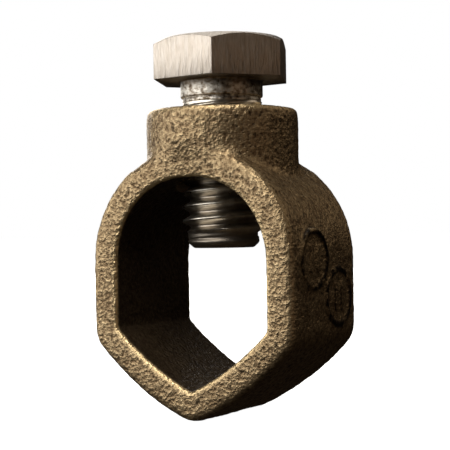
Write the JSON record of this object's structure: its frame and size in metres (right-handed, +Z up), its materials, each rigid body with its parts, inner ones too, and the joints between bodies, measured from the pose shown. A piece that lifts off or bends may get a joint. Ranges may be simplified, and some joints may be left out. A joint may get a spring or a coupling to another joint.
{
  "type": "ground rod clamp",
  "caption": "Cast bronze ring clamp with an arched top, a pointed rod seat below and a hex-head clamping bolt in the tapped boss on top.",
  "frame": {"origin": "under the bolt's axis, midway across the ring's depth, at the body's lowest point", "axes": "+Z up along the bolt's axis from the pointed rod seat to the bolt head; +Y along the rod that runs through the ring; X across the ring's width"},
  "size_m": [0.0259, 0.0174, 0.0428],
  "materials": {
    "bronze": "satin",
    "bolt_metal": "satin"
  },
  "bodies": {
    "body": {"clamp_body": "bronze"},
    "bolt_line": {"bolt_core": "bolt_metal"},
    "bolt": {"hex_bolt": "bolt_metal"}
  },
  "joints": [
    {"name": "bolt_advance", "type": "slide", "parent": "body", "child": "bolt_line", "axis": [0, 0, 1], "range_m": [-0.00159, 0.00953]},
    {"name": "bolt_turn", "type": "hinge", "parent": "bolt_line", "child": "bolt", "pos_m": [0, 0, 0.03465], "axis": [0, 0, 1], "range_deg": [-361, 2161]}
  ],
  "couplings": [
    {"joint": "bolt_turn", "follows": "bolt_advance", "rad_per_m": 3957.9}
  ]
}
